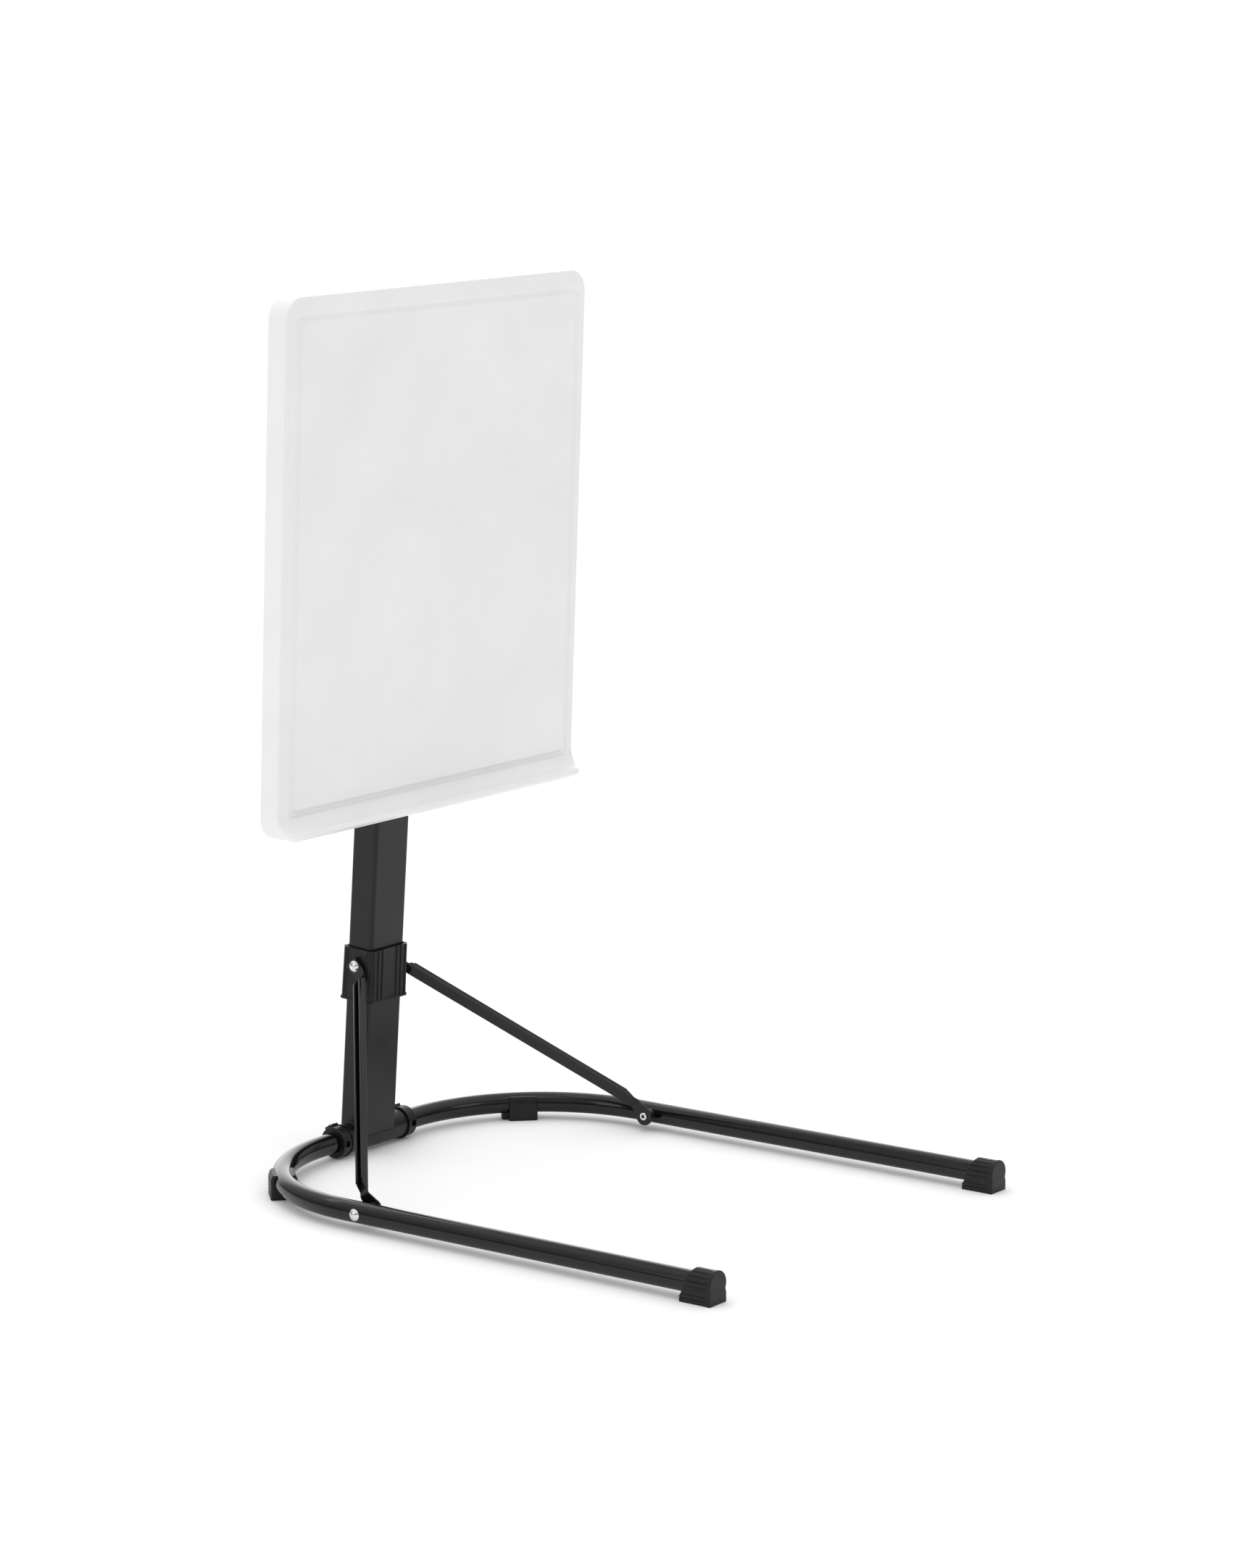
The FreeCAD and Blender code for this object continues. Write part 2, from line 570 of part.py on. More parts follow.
# ---------- board, in its own frame: x right, z up its face, +y behind it ----------

def ledge():
    """The pencil ledge: a concave trough that flares out of the face, with chamfered ends."""
    trough_r = 15.5
    x0, fold = -BOARD_W / 2, 3.0
    tip_top, tip_low = -11.0, -16.5
    low = trough_r * math.sqrt(0.5)
    profile = Part.Face(Part.Wire([
        Part.makeLine(V(x0, 3, fold), V(x0, 0, fold)),
        Part.Arc(V(x0, 0, fold), V(x0, -trough_r + low, fold - low), V(x0, -LEDGE, tip_top)).toShape(),
        Part.makeLine(V(x0, -LEDGE, tip_top), V(x0, -LEDGE, tip_low)),
        Part.makeLine(V(x0, -LEDGE, tip_low), V(x0, -9, BOARD_BOTTOM + 1)),
        Part.makeLine(V(x0, -9, BOARD_BOTTOM + 1), V(x0, 0, BOARD_BOTTOM)),
        Part.makeLine(V(x0, 0, BOARD_BOTTOM), V(x0, 3, BOARD_BOTTOM)),
        Part.makeLine(V(x0, 3, BOARD_BOTTOM), V(x0, 3, fold)),
    ]))
    solid = profile.extrude(V(BOARD_W, 0, 0))
    tip = edges_where(solid, lambda c, e: abs(c.y + LEDGE) < 0.01 and e.Length > 400)
    solid = solid.makeFillet(1.2, tip)
    half, inset = BOARD_W / 2, 17.0
    plan = [(-half, 3, -40), (-half, -3, -40), (-half + inset, -LEDGE - 2, -40),
            (half - inset, -LEDGE - 2, -40), (half, -3, -40), (half, 3, -40)]
    plan_block = prism(plan, (0, 0, 0), (0, 0, 60))
    corners = edges_where(plan_block, lambda c, e: abs(c.y + 3) < 0.1 and abs(e.Length - 60) < 0.1)
    return solid.common(plan_block.makeFillet(12.0, corners))


def face_groove():
    """The shallow groove round the drawing panel, with sloping walls."""
    depth, slope, width = 2.0, 3.0, 9.0
    left, right, top, bottom = -224.0, 232.5, 499.0, -3.0
    middle, half = (left + right) / 2, (right - left) / 2

    def level(inset, radius, y):
        wire = rounded_wire(half - inset, bottom + inset, top - inset, radius, 0, middle)
        wire.rotate(V(0, 0, 0), V(1, 0, 0), 90)
        wire.translate(V(0, y, 0))
        return wire

    outer = Part.makeLoft([level(-0.3 * slope, 8, -0.6), level(slope, 5, depth)], True, True)
    inner = Part.makeLoft([level(width + 0.3 * slope, 3, -0.6), level(width - slope, 6, depth)],
                          True, True)
    return outer.cut(inner)


def board_ribs(underside, rib_low):
    """The stiffening ribs and screw bosses under the panel."""
    ribs = []
    x_in, z_low, z_high = BOARD_W / 2 - 1.5, BOARD_BOTTOM + 1.5, BOARD_TOP - 1.5
    for x in (-160, -80, 0, 80, 160):
        ribs.append(box(x - 1.2, x + 1.2, underside - 1, rib_low, z_low, z_high))
    for z in (50, 130, 210, TILT.z, 390, 460):
        ribs.append(box(-x_in, x_in, underside - 1, rib_low, z - 1.2, z + 1.2))
    for x, z in screw_places():
        ribs.append(cylinder(6.5, (x, underside - 1, z), (x, rib_low + 0.6, z)))
    return ribs


def screw_places():
    return [(x, TILT.z + dz) for x in (-52, 52) for dz in (-34, 34)]


def board():
    rib_low = 13.4
    outline = rounded_wire(BOARD_W / 2, BOARD_BOTTOM, BOARD_TOP, 24.0)
    outline.rotate(V(0, 0, 0), V(1, 0, 0), 90)
    outer = Part.Face(outline).extrude(V(0, BOARD_D, 0))
    front = edges_where(outer, lambda c, e: abs(c.y) < 0.01)
    shell = outer.makeFillet(1.6, front)
    ahead = Part.Face(outline).extrude(V(0, -60, 0))
    shell = fuse([shell, ledge().common(fuse([ahead, outer]))])
    inside = rounded_wire(BOARD_W / 2 - SKIN, BOARD_BOTTOM + SKIN, BOARD_TOP - SKIN, 21.0)
    inside.rotate(V(0, 0, 0), V(1, 0, 0), 90)
    cavity = Part.Face(inside).extrude(V(0, BOARD_D, 0))
    cavity.translate(V(0, PANEL + 1.6, 0))
    under_ledge = prism([(0, PANEL + 2, -6.5), (0, 2.5, -6.5), (0, -3.0, -12.0), (0, -9.0, -15.6),
                         (0, -17.5, -15.0), (0, -17.5, -15.6), (0, -8.0, -20.6),
                         (0, PANEL + 2, -21.4)], (-210, 0, 0), (420, 0, 0))
    shell = shell.cut(cavity).cut(under_ledge).cut(face_groove())
    ribs = [r.common(outer) for r in board_ribs(PANEL + 1.6, rib_low)]
    solid = shell.multiFuse(ribs)
    for x, z in screw_places():
        solid = solid.cut(cylinder(1.75, (x, 5.4, z), (x, 30, z)))
    return solid


def bracket_ear():
    """The right ear: a plate from the base to a disc round the tilt axis, slotted for the stop."""
    x0, thick = 27.1, 3.0
    y, z = TILT.y, TILT.z
    reach = 31.0
    web = [(x0, 14.1, z - 34), (x0, 14.1, z + 34), (x0, y - 4, z + reach - 1), (x0, y - 4, z - reach + 1)]
    ear = fuse([prism(web, (0, 0, 0), (thick, 0, 0)), cylinder(reach, (x0, y, z), (x0 + thick, y, z))])
    ear = ear.cut(cylinder(5.0, (x0 - 1, y, z), (x0 + 5, y, z)))
    lean = COLUMN_LEAN - BOARD_LEAN
    cutters = []
    half = 2.75
    sweep = TILT_RANGE + 1.6
    ring = tube(STOP_RADIUS + half, STOP_RADIUS - half, (x0 - 1, y, z), (x0 + 5, y, z))
    start = -90 + lean - 0.8
    wedge = [(x0 - 1, y, z)]
    for i in range(5):
        a = math.radians(start + sweep * i / 4)
        wedge.append((x0 - 1, y + 60 * math.cos(a), z + 60 * math.sin(a)))
    cutters.append(ring.common(prism(wedge, (0, 0, 0), (6, 0, 0))))
    for a in (start, start + sweep):
        at = (y + STOP_RADIUS * math.cos(math.radians(a)), z + STOP_RADIUS * math.sin(math.radians(a)))
        cutters.append(cylinder(half, (x0 - 1, *at), (x0 + 5, *at)))
    for cutter in cutters:
        ear = ear.cut(cutter)
    return ear


def board_bracket():
    """The folded steel bracket under the board: a screwed base and two ears."""
    z = TILT.z
    base = box(-64, 64, 14.1, 16.6, z - 46, z + 46)
    base = base.makeFillet(8.0, edges_where(base, lambda c, e: abs(e.Length - 2.5) < 0.01))
    ear = bracket_ear()
    bracket = fuse([base, ear, mirror_x(ear)])
    for x, sz in screw_places():
        bracket = bracket.cut(cylinder(2.3, (x, 10, sz), (x, 20, sz)))
    return bracket


def bracket_screws():
    screws = []
    for x, z in screw_places():
        head = placed(dome(4.6, 2.8, 0), along((x, 16.62, z), (0, 1, 0)))
        screw = fuse([head, cylinder(1.7, (x, 6.0, z), (x, 16.7, z))])
        for slot in (box(-0.6, 0.6, 18.2, 21, -2.6, 2.6), box(-2.6, 2.6, 18.2, 21, -0.6, 0.6)):
            slot.translate(V(x, 0, z))
            screw = screw.cut(slot)
        screws.append(screw)
    return Part.makeCompound(screws)


def tilt_shaft():
    """The clamp bolt on the tilt axis: domed head at the left, thread at the right."""
    y, z = TILT.y, TILT.z
    shank = cylinder(4.98, (-30.12, y, z), (47.0, y, z))
    head = placed(dome(10.0, 5.0, 0), along((-30.12, y, z), (-1, 0, 0)))
    bolt = fuse([shank, head])
    end = edges_where(bolt, lambda c, e: c.x > 46.9)
    return bolt.makeChamfer(0.8, end)


def tilt_knob():
    y, z = TILT.y, TILT.z
    knob = star_knob(24.0, 20.0).cut(cylinder(5.05, (0, 0, -1), (0, 0, 17.5)))
    return placed(knob, along((30.4, y, z), (1, 0, 0)))


# ---------- every node, in the object's frame ----------

def all_nodes():
    on_column = {
        "column_tube": column_tube(),
        "column_cap": column_cap(),
        "height_nut": height_nut(),
        "height_knob": height_knob(),
        "height_knob_stud": height_knob_stud(),
        "slide_collar": slide_collar(),
        "mast_tube": mast_tube(),
        "mast_slider": mast_slider(),
        "tilt_head": tilt_head(),
        "tilt_washers": tilt_washers(),
        "tilt_stop_pin": stop_pin(),
    }
    on_board = {
        "board": board(),
        "board_bracket": board_bracket(),
        "bracket_screws": bracket_screws(),
        "tilt_shaft": tilt_shaft(),
        "tilt_knob": tilt_knob(),
    }
    right_brace, right_rivet = brace(), collar_rivet()
    on_brace = {
        "brace_right": right_brace,
        "brace_left": mirror_x(right_brace),
        "brace_rivet_right": right_rivet,
        "brace_rivet_left": mirror_x(right_rivet),
    }
    ring, foot, rivet, spacer = sleeve_ring(), front_foot(), leg_rivet(), brace_spacer()
    screw, clip, clip_screw = ring_screw(), rear_foot(), foot_screw()
    nodes = {
        "base_frame": base_frame(),
        "front_foot_right": foot,
        "front_foot_left": mirror_x(foot),
        "rear_foot_right": clip,
        "rear_foot_left": mirror_x(clip),
        "rear_foot_screws": Part.makeCompound([clip_screw, mirror_x(clip_screw)]),
        "sleeve_ring_left": on_sleeve(mirror_x(ring)),
        "sleeve_ring_right": on_sleeve(ring),
        "sleeve_ring_screws": on_sleeve(Part.makeCompound([screw, mirror_x(screw)])),
        "leg_rivets": Part.makeCompound([rivet, mirror_x(rivet)]),
        "brace_spacers": Part.makeCompound([spacer, mirror_x(spacer)]),
        "pivot_sleeve": on_sleeve(pivot_sleeve()),
    }
    nodes.update({name: placed(shape, COLUMN) for name, shape in on_column.items()})
    nodes.update({name: placed(shape, BOARD) for name, shape in on_board.items()})
    nodes.update({name: placed(shape, BRACE) for name, shape in on_brace.items()})
    return nodes


NODES = all_nodes()
os.makedirs("parts", exist_ok=True)
for name, shape in sorted(NODES.items()):
    shape.exportStep("parts/" + name + ".step")
    b = shape.BoundBox
    print("%-20s solids %d valid %s volume %9.0f  x %7.1f %7.1f  y %7.1f %7.1f  z %7.1f %7.1f" % (
        name, len(shape.Solids), shape.isValid(), shape.Volume,
        b.XMin, b.XMax, b.YMin, b.YMax, b.ZMin, b.ZMax))
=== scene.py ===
import json
import math

import bmesh
import bpy
from mathutils import Matrix, Vector


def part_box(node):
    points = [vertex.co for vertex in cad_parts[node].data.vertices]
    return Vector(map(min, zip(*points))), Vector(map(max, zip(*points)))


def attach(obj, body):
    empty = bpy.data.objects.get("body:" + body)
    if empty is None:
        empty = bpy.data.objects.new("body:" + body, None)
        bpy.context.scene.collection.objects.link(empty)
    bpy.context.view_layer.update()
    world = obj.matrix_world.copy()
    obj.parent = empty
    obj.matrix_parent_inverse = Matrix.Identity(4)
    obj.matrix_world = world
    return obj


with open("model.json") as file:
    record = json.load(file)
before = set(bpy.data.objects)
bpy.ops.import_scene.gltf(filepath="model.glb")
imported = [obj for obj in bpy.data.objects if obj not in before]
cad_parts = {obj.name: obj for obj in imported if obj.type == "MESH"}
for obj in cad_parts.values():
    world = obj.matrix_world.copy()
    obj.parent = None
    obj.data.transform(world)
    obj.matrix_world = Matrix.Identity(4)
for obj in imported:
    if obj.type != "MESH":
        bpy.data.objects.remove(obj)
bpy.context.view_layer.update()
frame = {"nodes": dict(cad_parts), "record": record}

# The camera. A product portrait with a long lens, from the user's left and a little above the
# board's middle, level with the floor and with no shift.
camera_data = bpy.data.cameras.new("camera")
camera_data.sensor_width = 36.0
camera_data.lens = 108.78
camera_data.clip_end = 200.0
camera = bpy.data.objects.new("camera", camera_data)
camera.location = (-3.7367, -2.7837, 1.2814)
camera.rotation_mode = "QUATERNION"
view_direction = Vector((0.79115, 0.58421, -0.18107))
camera.rotation_quaternion = view_direction.to_track_quat("-Z", "Y")
bpy.context.scene.collection.objects.link(camera)
bpy.context.scene.camera = camera
bpy.context.scene.view_settings.view_transform = "Standard"


# The studio floor: a wide roll of white paper that runs flat under the frame and far behind it.
# Matt uncoated paper, with a fine tooth, lit until it falls away to white round the object.
FLOOR_HALF = 80.0
BACKDROP_WAY = (0.75, 0.65, 0.0)


def srgb(hex_colour):
    values = [int(hex_colour[i:i + 2], 16) / 255 for i in (0, 2, 4)]
    linear = [v / 12.92 if v <= 0.04045 else ((v + 0.055) / 1.055) ** 2.4 for v in values]
    return (*linear, 1.0)


def new_material(name, colour, roughness, ior=1.5, metallic=0.0):
    """A new material; a metal keeps the default IOR."""
    material = bpy.data.materials.new(name)
    material.use_nodes = True
    shader = material.node_tree.nodes["Principled BSDF"]
    shader.inputs["Base Color"].default_value = srgb(colour)
    shader.inputs["Roughness"].default_value = roughness
    shader.inputs["Metallic"].default_value = metallic
    if not metallic:
        shader.inputs["IOR"].default_value = ior
    return material, material.node_tree, shader


def add_node(tree, kind, settings=(), links=()):
    """Adds one node: settings are (name, value) for properties or sockets, links (socket, source)."""
    node = tree.nodes.new(kind)
    for name, value in settings:
        if isinstance(name, str) and hasattr(node, name):
            setattr(node, name, value)
        else:
            node.inputs[name].default_value = value
    for name, source in links:
        tree.links.new(source, node.inputs[name])
    return node


def per_mm(size):
    """A noise or wave scale, per metre, for a pattern of a size in millimetres."""
    return 1000.0 / size


paper, tree, shader = new_material("uncoated_white_paper", "FCFCFC", 0.95)
where = add_node(tree, "ShaderNodeTexCoord").outputs["Object"]
fibre = add_node(tree, "ShaderNodeTexNoise", [("Scale", per_mm(3.0)), ("Detail", 3.0)],
                 [("Vector", where)])
tooth = add_node(tree, "ShaderNodeBump", [("Strength", 0.05), ("Distance", 0.0002)],
                 [("Height", fibre.outputs["Fac"])])
tree.links.new(tooth.outputs["Normal"], shader.inputs["Normal"])
shader.inputs["Specular IOR Level"].default_value = 0.1

sheet = bmesh.new()
bmesh.ops.create_grid(sheet, x_segments=1, y_segments=1, size=FLOOR_HALF)
floor_mesh = bpy.data.meshes.new("studio_floor")
sheet.to_mesh(floor_mesh)
sheet.free()
floor_mesh.materials.append(paper)
studio_floor = bpy.data.objects.new("studio_floor", floor_mesh)
bpy.context.scene.collection.objects.link(studio_floor)

# The studio light: a room that is bright overhead and dim low down, with a white backdrop lit
# behind the object, so that gloss black is dark at the side and has a white line along the top.
# Soft boxes to the left, ahead and above open the shadows.
world = bpy.data.worlds.new("studio_room")
world.use_nodes = True
room = world.node_tree
where = add_node(room, "ShaderNodeTexCoord").outputs["Generated"]
height = add_node(room, "ShaderNodeSeparateXYZ", links=[("Vector", where)]).outputs["Z"]
overhead = add_node(room, "ShaderNodeMapRange", [("From Min", 0.0), ("From Max", 0.85),
                                                 ("To Min", 0.2), ("To Max", 1.2)],
                    [("Value", height)])
behind = add_node(room, "ShaderNodeVectorMath", [("operation", "DOT_PRODUCT"), (1, BACKDROP_WAY)],
                  [(0, where)])
backdrop = add_node(room, "ShaderNodeMapRange", [("interpolation_type", "SMOOTHSTEP"),
                                                 ("From Min", 0.72), ("From Max", 0.96),
                                                 ("To Min", 0.0), ("To Max", 1.7)],
                    [("Value", behind.outputs["Value"])])
strength = add_node(room, "ShaderNodeMath", [("operation", "ADD")],
                    [(0, overhead.outputs["Result"]), (1, backdrop.outputs["Result"])])
room.links.new(strength.outputs["Value"], room.nodes["Background"].inputs["Strength"])
room.nodes["Background"].inputs["Color"].default_value = (1.0, 1.0, 1.0, 1.0)
bpy.context.scene.world = world


def soft_box(name, place, aim, width, height, watts):
    light = bpy.data.lights.new(name, "AREA")
    light.shape = "RECTANGLE"
    light.size = width
    light.size_y = height
    light.energy = watts
    lamp = bpy.data.objects.new(name, light)
    lamp.location = place
    lamp.rotation_mode = "QUATERNION"
    lamp.rotation_quaternion = (Vector(aim) - Vector(place)).to_track_quat("-Z", "Y")
    bpy.context.scene.collection.objects.link(lamp)


soft_box("overhead_box", (-0.3, 0.0, 2.8), (0.0, 0.0, 0.2), 2.0, 1.2, 6.0)
soft_box("rear_strip", (0.5, 2.0, 2.3), (0.0, 0.0, 0.1), 3.0, 0.16, 3.0)
soft_box("left_box", (-3.4, 1.2, 1.5), (0.0, 0.1, 0.5), 1.4, 1.6, 13.0)
soft_box("front_box", (0.6, -3.8, 1.9), (0.0, 0.0, 0.5), 1.6, 1.6, 9.0)


# The floor frame is one length of 22 mm steel tube, drawn, bent to a U and powder coated gloss
# black. The cured powder flows out smooth, with a faint orange peel a few millimetres across.
def finish(material, *nodes):
    """Gives CAD nodes one material, in the slot that each mesh has."""
    for node in nodes:
        mesh = frame["nodes"][node].data
        mesh.materials.clear()
        mesh.materials.append(material)


def vary_roughness(tree, shader, where, size, low, high):
    """Handling and flow marks: the roughness wanders between two values over a size in mm."""
    marks = add_node(tree, "ShaderNodeTexNoise", [("Scale", per_mm(size)), ("Detail", 4.0)],
                     [("Vector", where)])
    sheen = add_node(tree, "ShaderNodeMapRange", [("From Min", 0.3), ("From Max", 0.7),
                                                  ("To Min", low), ("To Max", high)],
                     [("Value", marks.outputs["Fac"])])
    tree.links.new(sheen.outputs["Result"], shader.inputs["Roughness"])


def vary_colour(tree, shader, where, size, first, second):
    """A slow change of tone between two colours over a size in mm."""
    cloud = add_node(tree, "ShaderNodeTexNoise", [("Scale", per_mm(size)), ("Detail", 3.0)],
                     [("Vector", where)])
    tone = add_node(tree, "ShaderNodeValToRGB", links=[("Fac", cloud.outputs["Fac"])])
    tone.color_ramp.elements[0].position = 0.35
    tone.color_ramp.elements[0].color = srgb(first)
    tone.color_ramp.elements[1].position = 0.65
    tone.color_ramp.elements[1].color = srgb(second)
    tree.links.new(tone.outputs["Color"], shader.inputs["Base Color"])


def raise_grain(tree, shader, where, size, strength, depth):
    """A bump of a grain size and a depth in mm."""
    grain = add_node(tree, "ShaderNodeTexNoise", [("Scale", per_mm(size)), ("Detail", 2.0)],
                     [("Vector", where)])
    bump = add_node(tree, "ShaderNodeBump", [("Strength", strength), ("Distance", depth / 1000)],
                    [("Height", grain.outputs["Fac"])])
    tree.links.new(bump.outputs["Normal"], shader.inputs["Normal"])


gloss_coat, tree, shader = new_material("gloss_black_powder_coat", "08090A", 0.13)
shader.inputs["Specular IOR Level"].default_value = 0.36
where = add_node(tree, "ShaderNodeTexCoord").outputs["Object"]
vary_colour(tree, shader, where, 40.0, "070808", "0B0C0D")
vary_roughness(tree, shader, where, 30.0, 0.1, 0.16)
raise_grain(tree, shader, where, 3.5, 0.1, 0.3)
finish(gloss_coat, "base_frame")

# The front feet are D-shaped caps, moulded in black polypropylene and pushed over the tube's ends.
# The tool is spark eroded, which leaves a satin grain a little over half a millimetre wide.
moulding, tree, shader = new_material("grained_black_polypropylene", "161718", 0.42, 1.49)
shader.inputs["Specular IOR Level"].default_value = 0.3
where = add_node(tree, "ShaderNodeTexCoord").outputs["Object"]
vary_colour(tree, shader, where, 12.0, "0F1011", "151617")
vary_roughness(tree, shader, where, 8.0, 0.38, 0.48)
raise_grain(tree, shader, where, 0.6, 0.25, 0.12)
finish(moulding, "front_foot_left", "front_foot_right")

# The rear feet are C-shaped clips of the same polypropylene, sprung over the bends and each held
# by one self-tapping screw from below.
finish(moulding, "rear_foot_left", "rear_foot_right")

# Their screws are zinc plated: dull blue-grey, with the fine clouded bloom of a passivated coat.
zinc, tree, shader = new_material("zinc_plated_steel", "AEB2B5", 0.34, metallic=1.0)
where = add_node(tree, "ShaderNodeTexCoord").outputs["Object"]
vary_colour(tree, shader, where, 4.0, "A2A7AB", "BDBFBE")
vary_roughness(tree, shader, where, 1.5, 0.26, 0.42)
raise_grain(tree, shader, where, 0.8, 0.12, 0.05)
finish(zinc, "rear_foot_screws")

# The column is a rectangular steel tube welded on the pivot sleeve, which turns on the frame's
# straight back. Both are powder coated with the same black as the frame, to a flatter sheen.
satin_coat, tree, shader = new_material("satin_black_powder_coat", "0C0D0E", 0.34)
shader.inputs["Specular IOR Level"].default_value = 0.34
where = add_node(tree, "ShaderNodeTexCoord").outputs["Object"]
vary_colour(tree, shader, where, 50.0, "0A0B0C", "0F1011")
vary_roughness(tree, shader, where, 25.0, 0.3, 0.4)
raise_grain(tree, shader, where, 1.6, 0.16, 0.2)
finish(satin_coat, "column_tube", "pivot_sleeve")

# The welds that join column and sleeve: a rippled bead under the front and back walls and one
# over the sleeve at each side wall, laid by torch and coated with the rest.
BEAD_R = 0.0014
BEAD_SIDES = 14
RIPPLE = 0.0026             # from one ripple to the next
SWELL = 0.13                # how far a ripple stands out, as a share of the bead
BEAD_RISE = 0.0024          # front and back beads, along the column from the pivot
BEAD_OUT = 0.0155           # and out from it
END_GAP = 0.004             # where they stop short of the side walls
BEAD_STEPS = 90
SIDE_LIFT = 0.0002          # side beads' centre line above the sleeve
SIDE_ARC = math.radians(150)
SIDE_STEPS = 80
sleeve_low, sleeve_high = [Vector(corner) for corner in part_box("pivot_sleeve")]
column_low, column_high = [Vector(corner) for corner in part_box("column_tube")]
pivot = (sleeve_low + sleeve_high) / 2
sleeve_r = (sleeve_high.z - sleeve_low.z) / 2
half_column = (column_high.x - column_low.x) / 2
joints = {joint["name"]: joint for joint in frame["record"]["behaviour"]["joints"]}
up = Vector(joints["collar_slide"]["axis"])
back = Vector((1.0, 0.0, 0.0)).cross(up) * -1.0


def close_ends(bead):
    """Caps an open bead and turns its faces outward."""
    ends = [edge for edge in bead.edges if edge.is_boundary]
    bmesh.ops.holes_fill(bead, edges=ends, sides=0)
    bmesh.ops.recalc_face_normals(bead, faces=bead.faces)


def add_piece(name, shape, material, body):
    """Turns a bmesh into a smooth-shaded piece that rides on a body."""
    mesh = bpy.data.meshes.new(name)
    shape.to_mesh(mesh)
    shape.free()
    mesh.materials.append(material)
    mesh.shade_smooth()
    piece = bpy.data.objects.new(name, mesh)
    bpy.context.scene.collection.objects.link(piece)
    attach(piece, body)


for side, wall in (("front", -1.0), ("back", 1.0)):
    bead = bmesh.new()
    ring = bmesh.ops.create_circle(bead, segments=BEAD_SIDES, radius=BEAD_R)["verts"]
    bmesh.ops.rotate(bead, verts=ring, matrix=Matrix.Rotation(math.pi / 2, 3, "Y"))
    run = 2 * (half_column - END_GAP)
    start = pivot + up * BEAD_RISE + back * wall * BEAD_OUT
    start -= Vector((pivot.x + run / 2, 0.0, 0.0))
    bmesh.ops.translate(bead, verts=ring, vec=start)
    bmesh.ops.spin(bead, geom=bead.edges[:], cent=start, axis=(1, 0, 0),
                   dvec=(run / BEAD_STEPS, 0, 0), angle=0.0, steps=BEAD_STEPS,
                   use_duplicate=False)
    for vert in bead.verts:
        swell = 1.0 + SWELL * math.sin(2 * math.pi * vert.co.x / RIPPLE)
        line = Vector((vert.co.x, start.y, start.z))
        vert.co = line + (vert.co - line) * swell
    close_ends(bead)
    add_piece("weld_bead_" + side, bead, satin_coat, "column")

for side, x in (("left", -half_column), ("right", half_column)):
    bead = bmesh.new()
    ring = bmesh.ops.create_circle(bead, segments=BEAD_SIDES, radius=BEAD_R)["verts"]
    bmesh.ops.rotate(bead, verts=ring, matrix=Matrix.Rotation(math.pi / 2, 3, "Y"))
    bmesh.ops.rotate(bead, verts=ring, matrix=Matrix.Rotation(math.pi / 2, 3, "Z"))
    centre = Vector((x, pivot.y, pivot.z))
    reach = sleeve_r + SIDE_LIFT
    bmesh.ops.translate(bead, verts=ring, vec=centre + up * reach)
    bmesh.ops.rotate(bead, verts=ring, cent=centre, matrix=Matrix.Rotation(-SIDE_ARC / 2, 3, "X"))
    bmesh.ops.spin(bead, geom=bead.edges[:], cent=centre, axis=(1, 0, 0), angle=SIDE_ARC,
                   steps=SIDE_STEPS, use_duplicate=False)
    for vert in bead.verts:
        arm = vert.co - centre
        flat = Vector((0.0, arm.y, arm.z))
        turn = math.atan2(arm.y, arm.z)
        line = centre + flat.normalized() * reach
        swell = 1.0 + SWELL * math.sin(turn * 2 * math.pi * reach / RIPPLE)
        vert.co = line + (vert.co - line) * swell
    close_ends(bead)
    add_piece("weld_bead_" + side, bead, satin_coat, "column")

# The two rings that keep the sleeve in place on the tube are moulded like the feet. Each is held
# by a bright nickel-plated screw, buffed so that only faint circles are left.
finish(moulding, "sleeve_ring_left", "sleeve_ring_right")
nickel, tree, shader = new_material("bright_nickel_plate", "DEDCD8", 0.14, metallic=1.0)
where = add_node(tree, "ShaderNodeTexCoord").outputs["Object"]
vary_colour(tree, shader, where, 3.0, "D2CFC9", "E6E5E2")
vary_roughness(tree, shader, where, 1.2, 0.1, 0.18)
raise_grain(tree, shader, where, 2.0, 0.03, 0.03)
finish(nickel, "sleeve_ring_screws")

# The collar slides on the column. It is a ribbed polypropylene moulding with a flanged foot.
finish(moulding, "slide_collar")

# The braces are pressed steel channels with flattened eyes, gloss coated like the frame. The
# free edge of each channel wall is rolled into a round hem, which catches the light as two lines.
HEM_R = 0.0014
HEM_SIDES = 14
HEM_END = 0.0006            # rounding of a hem's ends
WALL_STANDS = 0.0064        # the channel's depth
WALL_APART = 0.0051         # a hem's centre line from the channel's middle
SHEET = 0.0018              # the steel that a brace is pressed from
FOOT_BEND = 0.0165          # from the lower eye to the bend in the brace
NECK_BEND = 0.0135          # and from the upper eye
HEM_START = 0.015           # hem, from the lower bend
HEM_SHORT = 0.026           # how much shorter a hem is than the run between the bends
finish(gloss_coat, "brace_left", "brace_right")
brace_low, brace_high = [Vector(corner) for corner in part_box("brace_right")]
rivet_low, rivet_high = [Vector(corner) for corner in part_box("brace_rivet_right")]
swing = Vector(joints["right_brace_swing"]["pos_m"])
low_end = Vector((brace_high.x - SHEET, swing.y, swing.z))
rivet = (rivet_low + rivet_high) / 2
high_end = Vector((brace_low.x, rivet.y, rivet.z))
run = high_end - low_end
level_run = Vector((0.0, run.y, run.z)).normalized()
across = Vector((1.0, 0.0, 0.0)).cross(level_run)
foot_bend = low_end + level_run * FOOT_BEND
neck_bend = high_end - level_run * NECK_BEND
slope = (neck_bend - foot_bend).normalized()
outward = across.cross(slope)
if outward.x < 0:
    outward = -outward
hem_length = (neck_bend - foot_bend).length - HEM_SHORT
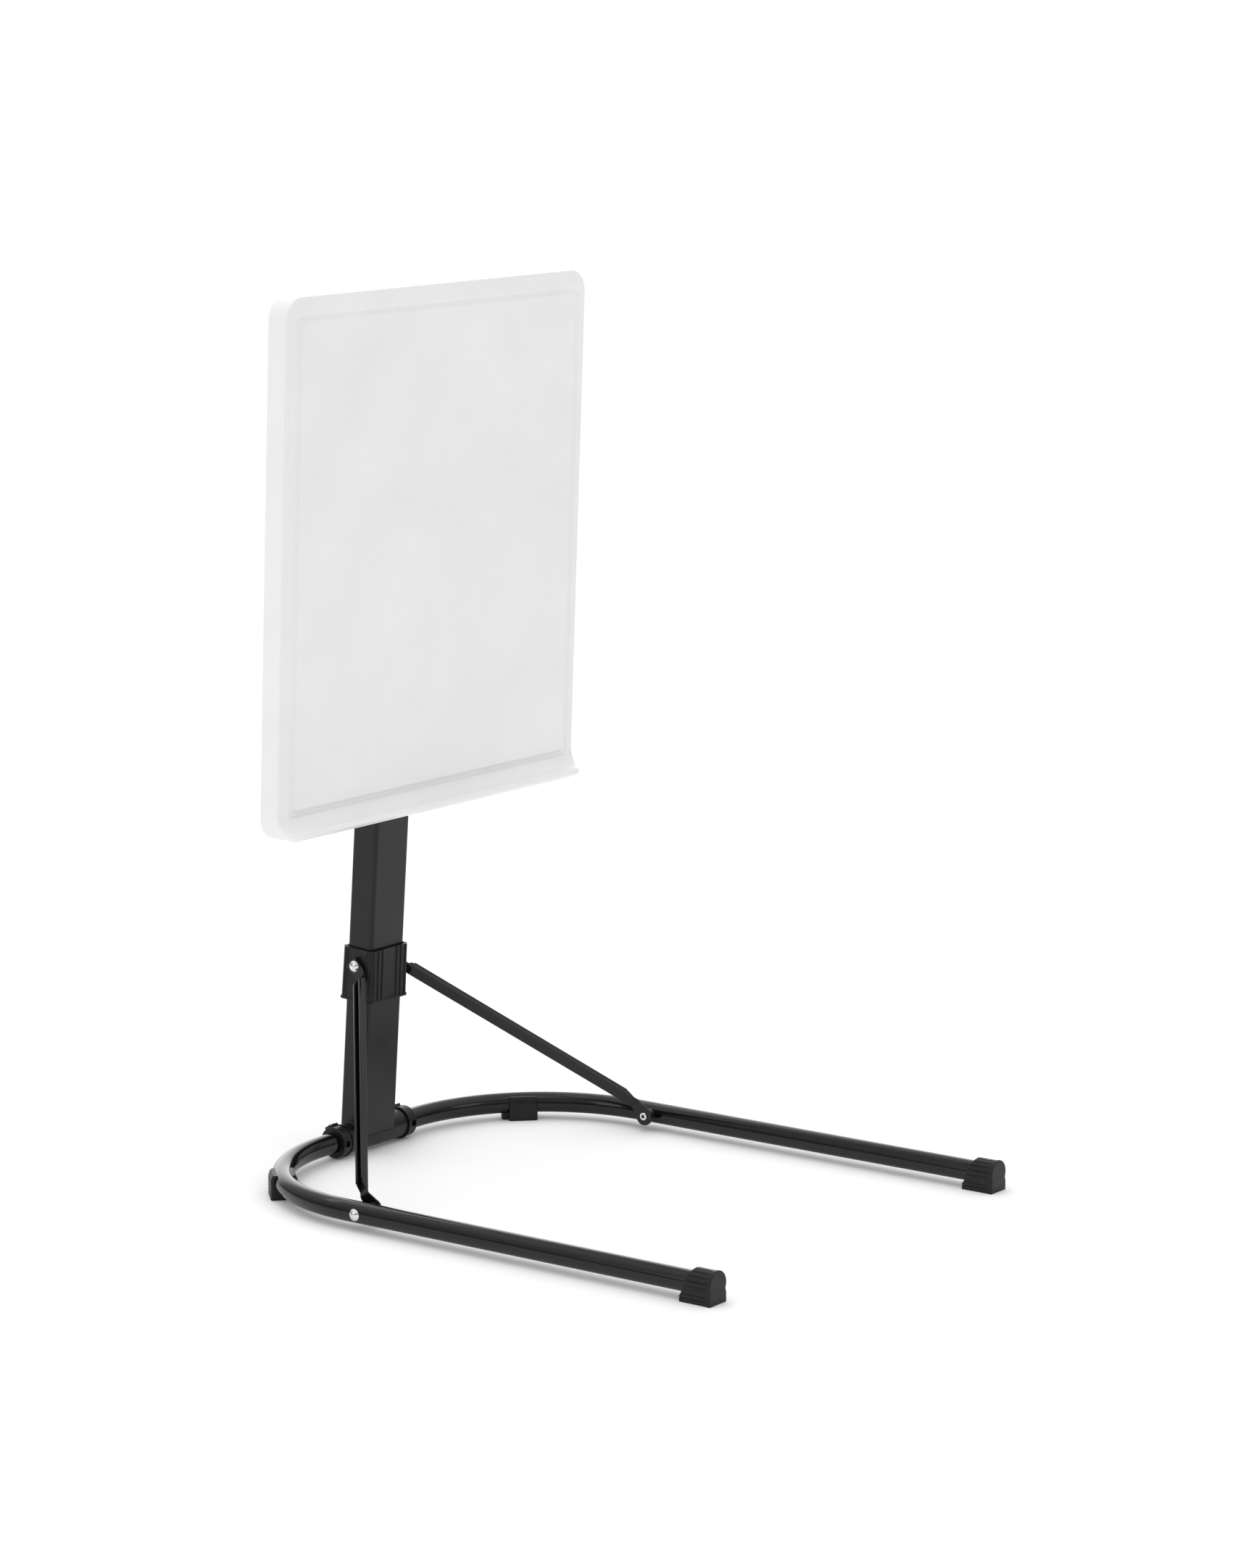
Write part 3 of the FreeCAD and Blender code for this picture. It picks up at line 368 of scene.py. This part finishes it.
for brace, hand in (("right", 1.0), ("left", -1.0)):
    for wall, edge in (("lower", -1.0), ("upper", 1.0)):
        hem = bmesh.new()
        bmesh.ops.create_cone(hem, cap_ends=True, segments=HEM_SIDES, radius1=HEM_R,
                              radius2=HEM_R, depth=hem_length)
        rims = [e for e in hem.edges if abs(e.verts[0].co.z - e.verts[1].co.z) < 1e-6]
        bmesh.ops.bevel(hem, geom=rims, offset=HEM_END, offset_type="OFFSET", segments=2,
                        profile=0.5, affect="EDGES", clamp_overlap=True, material=-1)
        middle = foot_bend + slope * (HEM_START + hem_length / 2) + outward * WALL_STANDS
        middle += across * edge * WALL_APART
        bmesh.ops.rotate(hem, verts=hem.verts, matrix=slope.to_track_quat("Z", "Y").to_matrix())
        bmesh.ops.translate(hem, verts=hem.verts, vec=middle)
        bmesh.ops.scale(hem, verts=hem.verts, vec=(hand, 1.0, 1.0))
        bmesh.ops.recalc_face_normals(hem, faces=hem.faces)
        name = "brace_hem_" + brace + "_" + wall
        add_piece(name, hem, gloss_coat, brace + "_brace")

# Domed nickel-plated rivets pin the braces to the collar and, over black nylon spacers, to the
# legs, where each rivet's tail is rolled over on the brace.
finish(nickel, "brace_rivet_left", "brace_rivet_right", "leg_rivets")
nylon, tree, shader = new_material("black_nylon_66", "18191A", 0.38, 1.53)
where = add_node(tree, "ShaderNodeTexCoord").outputs["Object"]
vary_colour(tree, shader, where, 6.0, "151617", "1D1E1F")
vary_roughness(tree, shader, where, 5.0, 0.32, 0.44)
raise_grain(tree, shader, where, 1.0, 0.12, 0.08)
finish(nylon, "brace_spacers")

# The mast slides in the column: cold drawn steel tube, zinc plated, its drawing lines running
# up the tube. A moulded cap guides it at the column's top, and a nylon plug at its own foot.
drawn, tree, shader = new_material("zinc_plated_drawn_tube", "B0B4B7", 0.3, metallic=1.0)
where = add_node(tree, "ShaderNodeTexCoord").outputs["Object"]
stretch = add_node(tree, "ShaderNodeMapping", [("Scale", (1.0, 1.0, 0.02))], [("Vector", where)])
lines = add_node(tree, "ShaderNodeTexNoise", [("Scale", per_mm(0.5)), ("Detail", 3.0)],
                 [("Vector", stretch.outputs["Vector"])])
scratch = add_node(tree, "ShaderNodeBump", [("Strength", 0.12), ("Distance", 0.00006)],
                   [("Height", lines.outputs["Fac"])])
tree.links.new(scratch.outputs["Normal"], shader.inputs["Normal"])
vary_colour(tree, shader, where, 18.0, "A6ABAF", "BBBEBF")
vary_roughness(tree, shader, where, 10.0, 0.24, 0.36)
finish(drawn, "mast_tube")
finish(moulding, "column_cap")
finish(nylon, "mast_slider")

# The height clamp: a boss welded on the column's back, coated with it, and a moulded six-lobed
# knob on a zinc-plated stud that presses on the mast.
finish(satin_coat, "height_nut")
finish(moulding, "height_knob")
finish(zinc, "height_knob_stud")

# The tilting head is a zinc die casting in black enamel, a little pebbled from the mould. Nylon
# washers stand at both sides of it, and a plain pin through the mast stops the tilt.
cast, tree, shader = new_material("enamelled_die_casting", "101112", 0.36)
where = add_node(tree, "ShaderNodeTexCoord").outputs["Object"]
vary_colour(tree, shader, where, 15.0, "0E0F10", "151617")
vary_roughness(tree, shader, where, 12.0, 0.3, 0.42)
raise_grain(tree, shader, where, 2.4, 0.22, 0.3)
finish(cast, "tilt_head")
finish(nylon, "tilt_washers")
finish(zinc, "tilt_stop_pin")

# The board is one injection moulding in white high-impact polystyrene. Its tool is sand blasted,
# so the face carries a fine pebble, under a millimetre wide, and a soft even sheen.
board_white, tree, shader = new_material("white_high_impact_polystyrene", "EDEDED", 0.4, 1.55)
where = add_node(tree, "ShaderNodeTexCoord").outputs["Object"]
vary_colour(tree, shader, where, 90.0, "EBEBEB", "EFEFEF")
vary_roughness(tree, shader, where, 60.0, 0.36, 0.46)
raise_grain(tree, shader, where, 0.7, 0.2, 0.15)
finish(board_white, "board")

# Under it sits a folded steel bracket, coated like the column, on four cross-headed zinc-plated
# screws. The tilt shaft joins its ears, and a six-lobed knob clamps them on the head.
finish(satin_coat, "board_bracket")
finish(zinc, "bracket_screws", "tilt_shaft")
finish(moulding, "tilt_knob")
